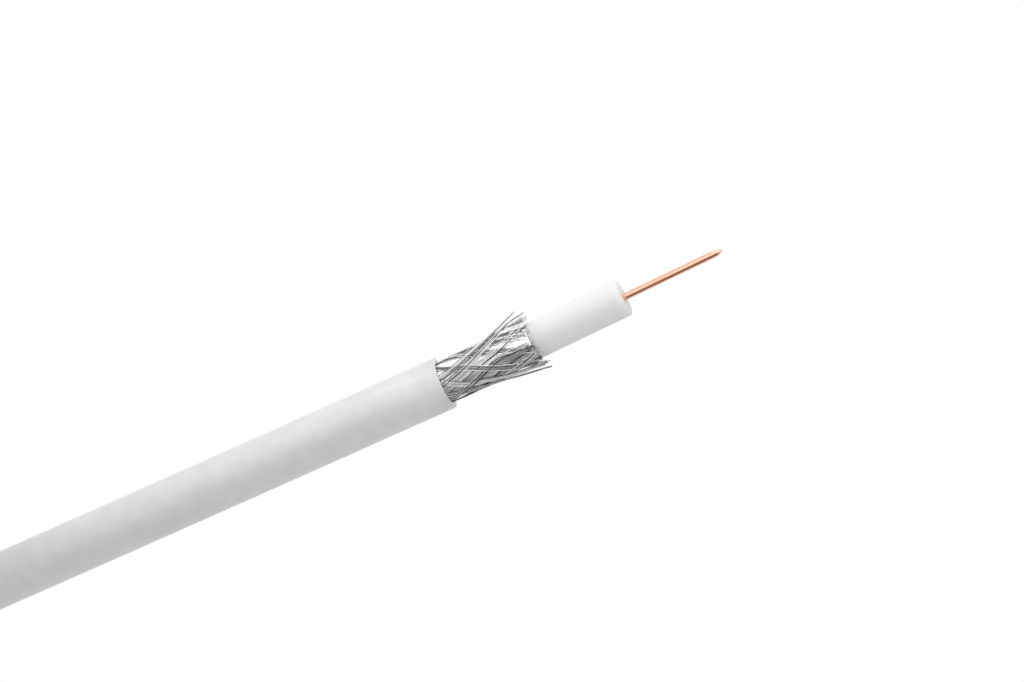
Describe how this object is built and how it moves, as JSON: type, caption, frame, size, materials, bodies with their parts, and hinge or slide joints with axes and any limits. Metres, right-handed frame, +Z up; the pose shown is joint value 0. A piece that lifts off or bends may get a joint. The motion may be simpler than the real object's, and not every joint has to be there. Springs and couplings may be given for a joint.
{
  "type": "coaxial cable with a stripped end",
  "caption": "White coaxial cable, its end stripped back in steps to braid, foil, foam dielectric and copper conductor, the rest wound in a tied round coil.",
  "frame": {"origin": "on the surface the coil lies on, under the middle of the whole coil and its straight run", "axes": "+Z up, +X along the longest side, from the coil towards the stripped end"},
  "size_m": [0.1888, 0.0956, 0.0512],
  "materials": {
    "jacket_pvc": "smooth extruded PVC, satin",
    "braid_wire": "fine drawn wires, bright",
    "foil": "bright foil, lightly creased",
    "dielectric_foam": "smooth foamed polyethylene",
    "copper": "bare drawn copper",
    "tie_nylon": "moulded nylon"
  },
  "bodies": {
    "root": {"cable_coil": "jacket_pvc", "jacket": "jacket_pvc", "braid": "braid_wire", "foil": "foil", "dielectric": "dielectric_foam", "centre_conductor": "copper", "coil_tie_1": "tie_nylon", "coil_tie_2": "tie_nylon", "coil_tie_3": "tie_nylon"}
  },
  "joints": []
}
